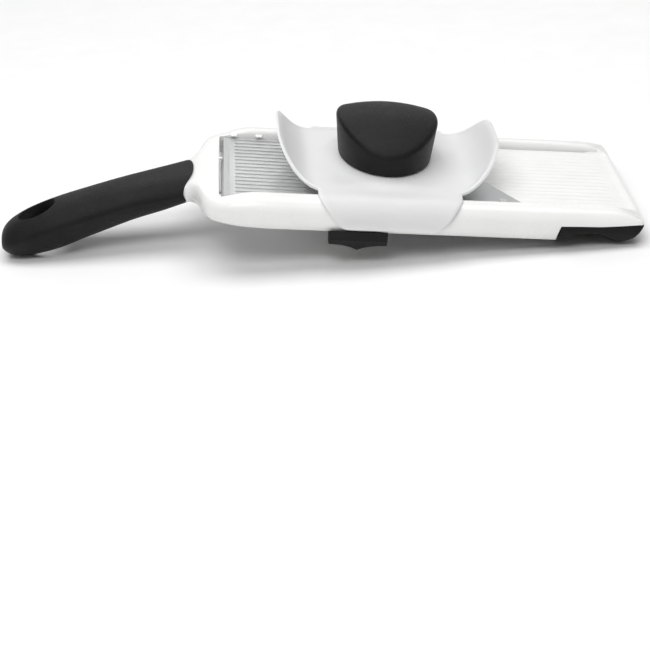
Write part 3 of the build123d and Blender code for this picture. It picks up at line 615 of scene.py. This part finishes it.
# open the grid into a circle, with the shift dying away outside it
shifts = {}
for i in range(-3, 4):
    for j in range(-3, 4):
        reach = max(abs(i), abs(j))
        if reach == 3:
            u, v = grid[hole_row + i, hole_column + j]
            length = hypot(i, j)
            shifts[i, j] = (hole_at + opening[0] * i / length - u, opening[1] * j / length - v)
for i in range(-5, 6):
    for j in range(-6, 7):
        reach = max(abs(i), abs(j))
        if reach < 3:
            continue
        key = (max(-3, min(3, i)), max(-3, min(3, j)))
        fade = {3: 1.0, 4: 0.55, 5: 0.2, 6: 0.05}[reach]
        spot = grid[hole_row + i, hole_column + j]
        spot[0] += shifts[key][0] * fade
        spot[1] += shifts[key][1] * fade
grip = bmesh.new()
crease_layer = grip.edges.layers.float.new("crease_edge")
top_verts, low_verts = {}, {}
for (i, j), (u, v) in grid.items():
    if abs(i - hole_row) < 3 and abs(j - hole_column) < 3:
        continue
    # the front of the grip is a rounded tongue above the neck and a straight edge below
    part = abs(fractions[j])
    share = max(45 - places[i], 0) / (45 - places[0])
    top_u = u + (12.6 + 7.8 * part ** 2.8 - places[0]) * share
    low_u = u + (18.6 + 1.8 * part ** 4 - places[0]) * share
    top_verts[i, j] = grip.verts.new(on_grip(top_u, v, grip_top(top_u, v)))
    if 0 < j < len(fractions) - 1:
        low_verts[i, j] = grip.verts.new(on_grip(low_u, v, grip_bottom(low_u, v)))
    else:
        low_verts[i, j] = top_verts[i, j]
last_row, last_column = len(places) - 1, len(fractions) - 1
for i in range(last_row):
    for j in range(last_column):
        if abs(i + 0.5 - hole_row) < 3 and abs(j + 0.5 - hole_column) < 3:
            continue
        for side in (top_verts, low_verts):
            grip.faces.new((side[i, j], side[i + 1, j], side[i + 1, j + 1], side[i, j + 1]))
# blunt tail
for j in range(last_column):
    corners = [top_verts[last_row, j], top_verts[last_row, j + 1], low_verts[last_row, j + 1],
               low_verts[last_row, j]]
    grip.faces.new(list(dict.fromkeys(corners)))
# the front edge turns down to the neck and closes inside it
front_ring = ([top_verts[0, j] for j in range(last_column + 1)]
              + [low_verts[0, j] for j in range(last_column - 1, 0, -1)])
rows = [front_ring]
for pull, ahead in ((0.97, 0.35), (0.9, 0.4), (0.8, 0.0)):
    ring = []
    for vert in front_ring:
        spot = vert.co
        middle = Vector((spot.x, 0, root_z - 19 * sin(slope)))
        ring.append(grip.verts.new(middle + (spot - middle) * pull + Vector((ahead, 0, 0))))
    rows.append(ring)
skin(grip, rows)
grip.faces.new(rows[-1])
# the hole: an oval funnel above and below, and the round wall between them
turnings = ([(-3, j) for j in range(-3, 3)] + [(i, 3) for i in range(-3, 3)]
            + [(3, j) for j in range(3, -3, -1)] + [(i, -3) for i in range(3, -3, -1)])
hole_rows = []
for side, height, sign in ((top_verts, grip_top, -1), (low_verts, grip_bottom, 1)):
    rim_rows = [[side[hole_row + i, hole_column + j] for i, j in turnings]]
    for long_r, wide_r, depth in ((11.9, 9.4, 0.0), (11.5, 9.05, 0.35), (11.2, 8.85, 1.3),
                                  (10.2, 8.4, 3.2), (8.8, 8.1, 5.2), (8.05, 8.01, 7.2)):
        ring = []
        for i, j in turnings:
            length = hypot(i, j)
            u, v = hole_at + long_r * i / length, wide_r * j / length
            ring.append(grip.verts.new(on_grip(u, v, height(u, v) + sign * depth)))
        rim_rows.append(ring)
    hole_rows.append(rim_rows)
skin(grip, hole_rows[0] + hole_rows[1][::-1])
for i in range(last_row):
    for j in (0, last_column):
        edge = grip.edges.get((top_verts[i, j], top_verts[i + 1, j]))
        edge[crease_layer] = 0.75 - 0.6 * ease(50, 110, places[i])
grip_piece = make_piece(grip, "handle_grip_soft", black_tpe, "soft_black", "frame", "handle_grip",
                        sharp=180)
levels = grip_piece.modifiers.new("smooth", "SUBSURF")
levels.levels = levels.render_levels = 2

# ---- hand guard ---------------------------------------------------------------------------------
# One moulding of frosted polypropylene: a sheet that curls up at both ends and turns down over the rails
# in two skirts, raised into an oval under the palm knob, with a slightly thicker lip along its edges. The
# frosting scatters what lies behind into a soft grey, and the cut edges look whiter.
frosted_pp = surface("frosted_polypropylene", ("f7f7f7", "fbfbfb"), (0.40, 0.50), 0.0005, 0.000004,
                     {"IOR": 1.49, "Transmission Weight": 0.3})
frosted_edge = surface("frosted_polypropylene_edge", ("f5f5f5", "f9f9f9"), (0.34, 0.42), 0.0005, 0.000003,
                       {"IOR": 1.49, "Transmission Weight": 0.18})
dress("prong_plate", frosted_pp, 0.0003)
dress("food_prongs", plain_steel)
guard_x, guard_z, guard_t = 88.6, 4.6, 2.2
flat_reach, full_reach = 38.7, 59.6
# height of the curled ends, how late they rise, and how far the sheet's corners are drawn in
curl_rise, curl_power, narrowing, narrow_power = 19.6, 2.1, 22.0, 4.4
crown_rise, dome_rise = 1.8, 2.7
# the bend over a rail: where it starts, how far out and down it goes, and its length along the sheet
bend_from, bend_reach, bend_drop, bend_span = 47.2, 10.6, 11.8, 14.8
skirt_low, skirt_half, skirt_taper = -8.4, 26.5, 11.1
# a skirt's lower edge, measured along the sheet from its middle, and the radius of its corners
skirt_edge, skirt_corner = 64.4, 4.0


def guard_line(across):
    """Y, height of the underside, and half length of the guard's sheet at a distance across it."""
    side = 1 if across > 0 else -1
    span = abs(across)
    if span < runway_half:
        return side * span, guard_z, full_reach - narrowing * (span / runway_half) ** narrow_power
    angle = min(max(span - bend_from, 0) / bend_span, 1) * pi / 2
    y = min(span, bend_from) + bend_reach * sin(angle)
    z = guard_z - bend_drop * (1 - cos(angle)) - max(span - bend_from - bend_span, 0)
    return side * y, z, skirt_half + skirt_taper * (z - skirt_low) / (guard_z - skirt_low)


dome_half = (31.0, 41.5)


def guard_point(x, across, lift):
    """A point `lift` mm out from the guard's underside."""
    y, z, _ = guard_line(across)
    over = max(abs(x) - flat_reach, 0) / (full_reach - flat_reach)
    rise = curl_rise * over ** curl_power + crown_rise * ease(48, 38, abs(across))
    climb = curl_power * curl_rise / (full_reach - flat_reach) * over ** (curl_power - 1)
    climb = climb if x > 0 else -climb
    oval = hypot(x / dome_half[0], y / dome_half[1])
    dome = dome_rise * ease(1.12, 0.78, oval)
    bend = min(max(abs(across) - bend_from, 0) / bend_span, 1) * pi / 2
    out = Vector((-climb * cos(bend), (1 if across > 0 else -1) * sin(bend), cos(bend))).normalized()
    return Vector((guard_x + x, y, z + rise + dome)) + out * lift


spans = [-skirt_edge, -63.8, -62.6, -60, -57, -54, -51.5, -49.5, -48, -46.5]
spans = spans + [2 * k for k in range(-22, 23)] + [-span for span in reversed(spans)]
shares = [-1, -0.992, -0.975, -0.95, -0.93, -0.91, -0.88]
shares = shares + [-0.85 + 1.7 * k / 48 for k in range(49)] + [-share for share in reversed(shares)]
guard = bmesh.new()
sheets = []
for under in (True, False):
    rows = []
    for span in spans:
        _, z, half = guard_line(span)
        corner = max(abs(span) - (skirt_edge - skirt_corner), 0)
        half -= skirt_corner - sqrt(max(skirt_corner ** 2 - corner ** 2, 0))
        row = []
        for share in shares:
            x = half * share
            edge = min(half * (1 - abs(share)), skirt_edge - abs(span))
            lip = 0.25 * (1 - ease(3.4, 4.6, edge))
            thick = guard_t * 0.82 + lip - 0.55 * (1 - ease(0, 0.7, edge))
            lift = 0.3 * (1 - ease(0, 0.7, edge)) if under else thick
            row.append(guard.verts.new(guard_point(x, span, lift)))
        rows.append(row)
    sheets.append(rows)
    skin(guard, rows, ring=False)
low_edge, high_edge = outline(sheets[0]), outline(sheets[1])
mid_edge = []
for low_vert, high_vert in zip(low_edge, high_edge):
    middle = (low_vert.co + high_vert.co) / 2
    mid_edge.append(guard.verts.new(middle))
skin(guard, [low_edge, mid_edge, high_edge])
guard_piece = make_piece(guard, "guard_shell", frosted_pp, "frosted_plastic", "guard", "hand_guard",
                         sharp=50)
# the faces of the rim take the whiter edge
guard_piece.data.materials.append(frosted_edge)
cells = len(shares) - 1
for face in guard_piece.data.polygons:
    row, column = divmod(face.index % ((len(spans) - 1) * cells), cells)
    outer_row = min(row, len(spans) - 2 - row) < 2
    outer_column = min(column, cells - 1 - column) < 2
    if face.index >= 2 * (len(spans) - 1) * cells or outer_row or outer_column:
        face.material_index = 1

# ---- palm knob ----------------------------------------------------------------------------------
# Soft black elastomer over a rigid core of polypropylene, screwed to the guard: oval in plan and flared
# towards its arched top, with a soft edge round the top.
dress("knob_core", black_pp)
dress("knob_screws", plain_steel)
knob = bmesh.new()
knob_base, knob_top = 11.3, 37.4
knob_half, knob_flare = (25, 35.5), 2.9      # half length and half width at the base, and growth in 26 mm
arch_r, end_drop = 52, 4.2                   # the top's arch across, and its fall at 27 mm from the middle


def crown(x, y):
    """Height of the knob's arched top."""
    return knob_top - (arch_r - sqrt(arch_r ** 2 - y * y)) - end_drop * (x / 27) ** 2


edge_r = 1.8
turns = 96
angles = [2 * pi * k / turns for k in range(turns)]


def knob_point(angle, z, inset=0.0):
    """A plan point on the knob's flared side at a height, drawn in by `inset` mm."""
    flare = knob_flare * (z - knob_base) / 26
    return (knob_half[0] + flare - inset) * cos(angle), (knob_half[1] + flare - inset) * sin(angle)


def rim_height(angle):
    """Height where the knob's side turns over into its top."""
    z = 30.0
    for _ in range(6):
        z = crown(*knob_point(angle, z)) - edge_r
    return z


knob_rings = []
for inset, lift in ((2.6, 0), (0.6, 0), (0.15, 0.15), (0, 0.6)):
    knob_rings.append([(*knob_point(angle, knob_base, inset), knob_base + lift) for angle in angles])
for share in (0.2, 0.4, 0.6, 0.8, 0.93):
    ring = []
    for angle in angles:
        z = knob_base + 0.6 + (rim_height(angle) - knob_base - 0.6) * share
        ring.append((*knob_point(angle, z), z))
    knob_rings.append(ring)
turn_over = [(edge_r * (1 - cos(pi / 12 * k)), edge_r * (1 - sin(pi / 12 * k))) for k in range(7)]
for inset, drop in turn_over + [(inset, 0) for inset in (4.5, 8, 11.5, 15, 18.5, 22)]:
    ring = []
    for angle in angles:
        x, y = knob_point(angle, rim_height(angle), inset)
        ring.append((x, y, crown(x, y) - drop))
    knob_rings.append(ring)
knob_rings = [[(guard_x + x, y, z) for x, y, z in ring] for ring in knob_rings]
knob_rows = [[knob.verts.new(point) for point in ring] for ring in knob_rings]
skin(knob, knob_rows)
knob.faces.new(knob_rows[0])
tip = knob.verts.new((guard_x, 0, crown(0, 0)))
for k in range(turns):
    knob.faces.new((knob_rows[-1][k], knob_rows[-1][(k + 1) % turns], tip))
make_piece(knob, "palm_knob", black_tpe, "soft_black", "guard", "knob_grip", sharp=50)
